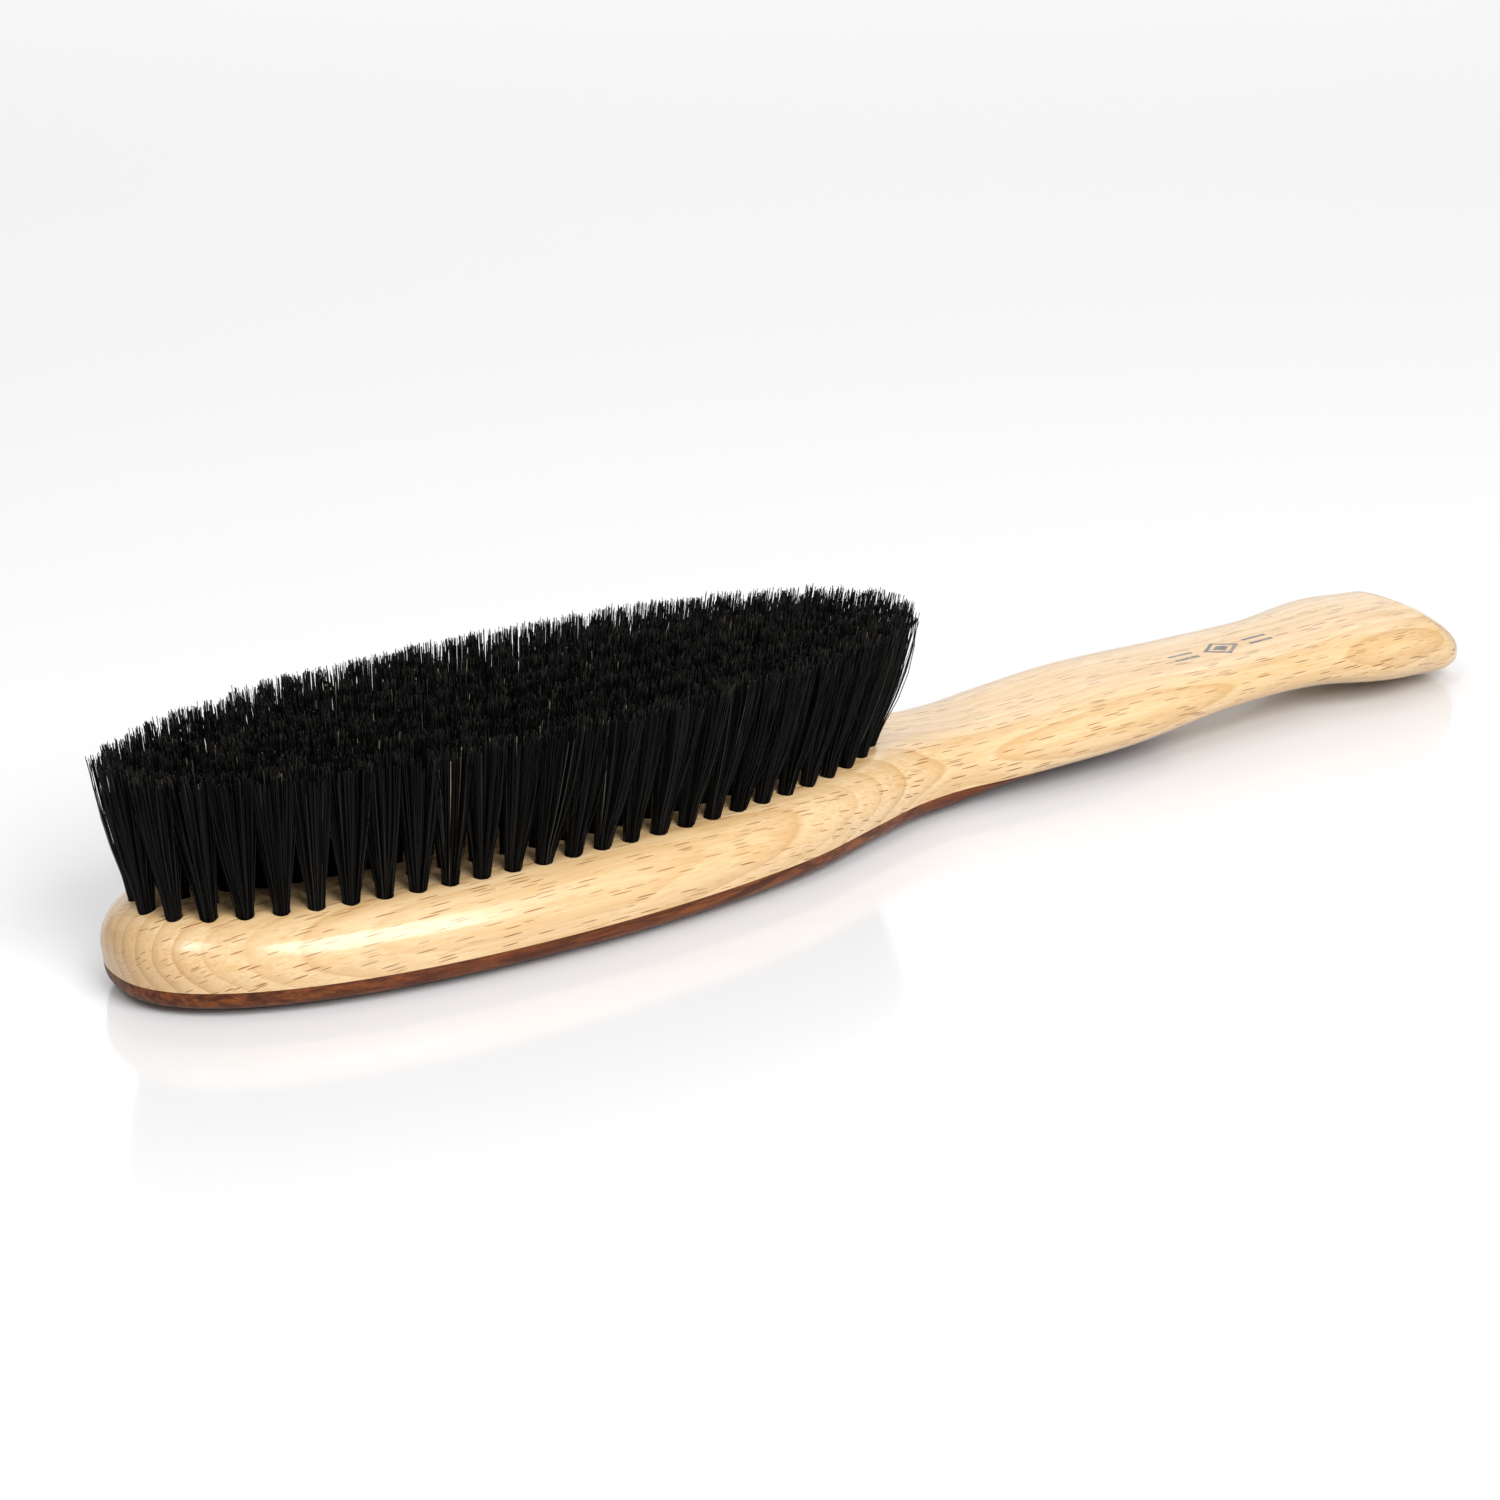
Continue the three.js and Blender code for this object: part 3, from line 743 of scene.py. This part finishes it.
def strand(points, faces, tones, path, width, turn, tone):
    """A three-sided bristle along a path of points, tapering a little to its tip."""
    start = len(points)
    for k, (x, y, z) in enumerate(path):
        radius = width / 2 * (1 - STRAND_TAPER * k / (len(path) - 1))
        for i in range(3):
            a = turn + i * 2 * math.pi / 3
            points.append((x + radius * math.cos(a), y + radius * math.sin(a), z))
            tones.append(tone)
    for k in range(len(path) - 1):
        for i in range(3):
            j = (i + 1) % 3
            a, b = start + 3 * k, start + 3 * (k + 1)
            faces.append((a + i, a + j, b + j, b + i))
    end = start + 3 * (len(path) - 1)
    faces.append((end, end + 1, end + 2))
    faces.append((start + 2, start + 1, start))


def make_bristles(name, row, pitch, ring, first, last, rng):
    """The bristles of part of a row, a fan of single strands from every bore."""
    points, faces, tones = [], [], []
    outer = ring == 0
    count = STRANDS_OUTER if outer else STRANDS_INNER
    steps = 5 if outer else 3
    for k in range(first, last):
        x0, y0 = row[k]
        turn = row_turn(row, k)
        c, s = math.cos(turn), math.sin(turn)
        clumps = [disc_point(rng) for _ in range(CLUMPS)]
        lift = [rng.gauss(0, CLUMP_LIFT) for _ in clumps]
        lean = rng.gauss(0, TUFT_LEAN), rng.gauss(0, TUFT_LEAN)
        for _ in range(count):
            u, v = disc_point(rng)
            along, side = BUNDLE_RADIUS * u, BUNDLE_RADIUS * v
            root_x = HEAD_CENTRE + x0 + along * c - side * s
            root_y = y0 + along * s + side * c
            near = min(range(CLUMPS), key=lambda i: math.dist(clumps[i], (u, v)))
            pull = rng.uniform(0.0, CLUMP_PULL)
            tu, tv = lerp(u, clumps[near][0], pull), lerp(v, clumps[near][1], pull)
            out_a, out_s = pitch * SPREAD_ALONG * tu, RING_SPACING * SPREAD_ACROSS * tv
            tx, ty = leaned(x0 + out_a * c - out_s * s, y0 + out_a * s + out_s * c, 1.0)
            scatter = END_SPREAD * (1.0 if rng.random() > STRAY_SHARE else STRAY_FACTOR)
            tx += rng.gauss(0, scatter) + lean[0]
            ty += rng.gauss(0, scatter) + lean[1]
            top = TIP_PLANE - TIP_DROP + lift[near] + rng.gauss(0, HEIGHT_SPREAD)
            top -= EDGE_DROP * tv * tv
            if rng.random() < SHORT_SHARE:
                top -= rng.uniform(*SHORT_BY)
            top = min(top, TIP_PLANE + TIP_LIMIT)
            bow = rng.gauss(*BOW)
            path = []
            for i in range(steps + 1):
                z = lerp(ROOT_HEIGHT, top, i / steps)
                w = max(z - STEM_TOP, 0) / (top - STEM_TOP)
                w = w * (1 + bow * (1 - w))
                path.append((lerp(root_x, tx, w), lerp(root_y, ty, w), z))
            width = rng.uniform(*STRAND_WIDTH)
            strand(points, faces, tones, path, width, rng.random() * FULL_TURN, rng.random())
    made = mesh_object(name, points, faces)
    made.data.attributes.new("strand", "FLOAT", "POINT").data.foreach_set("value", tones)
    return made


# ---- floor, light and camera --------------------------------------------------------------

# Soft lights in metres and watts: name, place, the point they face, size, power.
LIGHTS = [
    ("softbox_front", (-0.05, -0.80, 0.66), (-0.09, 0, 0), (0.62, 0.6), 11),
    ("softbox_left", (-0.71, -0.33, 0.90), (-0.12, 0, 0), (0.25, 0.4), 3.0),
    ("softbox_over", (0.2, 0.3, 1.5), (0, 0, 0), (1.0, 1.0), 4.5),
    ("softbox_far", (0.9, 1.5, 1.1), (0.8, 1.4, 0), (2.0, 1.2), 9),
    ("softbox_back", (0.9, 2.2, 0.5), (0, 0.3, 0), (3.4, 0.8), 6),
]
ROOM_LIGHT = 0.45
FLOOR_REACH = 4000.0

CAMERA_PLACE = (-0.3297, -0.4431, 0.2183)
CAMERA_DOWN = 20.56  # degrees below the level
CAMERA_YAW = 55.36  # degrees from +X towards +Y
CAMERA_LENS = 78.55
CAMERA_SENSOR = 36


def make_floor():
    size = FLOOR_REACH
    corners = [(-size, -size, 0), (size, -size, 0), (size, size, 0), (-size, size, 0)]
    floor = mesh_object("table_top", corners, [(0, 1, 2, 3)])
    look = Look("white_table", Base_Color=(0.73, 0.73, 0.74, 1), Roughness=0.12)
    floor.data.materials.append(look.material)


def area_light(name, place, target, size, energy):
    light = bpy.data.lights.new(name, "AREA")
    light.shape = "RECTANGLE"
    light.size, light.size_y = size
    light.energy = energy
    made = bpy.data.objects.new(name, light)
    made.location = place
    made.rotation_mode = "QUATERNION"
    made.rotation_quaternion = (Vector(target) - Vector(place)).to_track_quat("-Z", "Y")
    bpy.context.scene.collection.objects.link(made)


def make_light():
    world = bpy.data.worlds.new("studio")
    bpy.context.scene.world = world
    world.use_nodes = True
    back = world.node_tree.nodes["Background"]
    back.inputs["Color"].default_value = (1, 1, 1, 1)
    back.inputs["Strength"].default_value = ROOM_LIGHT
    for light in LIGHTS:
        area_light(*light)


def make_camera():
    data = bpy.data.cameras.new("photo_view")
    data.sensor_width = CAMERA_SENSOR
    data.lens = CAMERA_LENS
    made = bpy.data.objects.new("photo_view", data)
    down, yaw = math.radians(CAMERA_DOWN), math.radians(CAMERA_YAW)
    level = math.cos(down)
    forward = Vector((math.cos(yaw) * level, math.sin(yaw) * level, -math.sin(down)))
    made.location = CAMERA_PLACE
    made.rotation_mode = "QUATERNION"
    made.rotation_quaternion = forward.to_track_quat("-Z", "Y")
    bpy.context.scene.collection.objects.link(made)
    bpy.context.scene.camera = made


# ---- assembly -----------------------------------------------------------------------------


def place_piece(made, material, slot, *nodes):
    """Puts a visual piece in the place of its CAD nodes."""
    made.data.materials.clear()
    made.data.materials.append(material)
    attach(made, "root")
    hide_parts(*nodes)


bpy.context.scene.view_settings.view_transform = "Standard"
make_camera()
make_light()
make_floor()
place_piece(make_stock(), beech_material(), "beech", "stock")
place_piece(make_board(), dark_material(), "dark_hardwood", "back_board")
bristle = bristle_material()
brass = wire_material()
for number, (row, pitch, ring) in enumerate(ROWS, 1):
    middle = math.ceil(len(row) / 2)
    for end, first, last in (("free_end", 0, middle), ("handle_end", middle, len(row))):
        rng = random.Random(f"{number} {end}")
        tufts = make_bristles(f"bristles_{number}_{end}", row, pitch, ring, first, last, rng)
        place_piece(tufts, bristle, "black_bristle", f"tuft_row_{number}_{end}")

# The wires lie hidden in the wood, so their CAD solids stay and only get their material.
for number in range(1, len(ROWS) + 1):
    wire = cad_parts[f"draw_wire_{number}"]
    wire.data.materials.clear()
    wire.data.materials.append(brass)
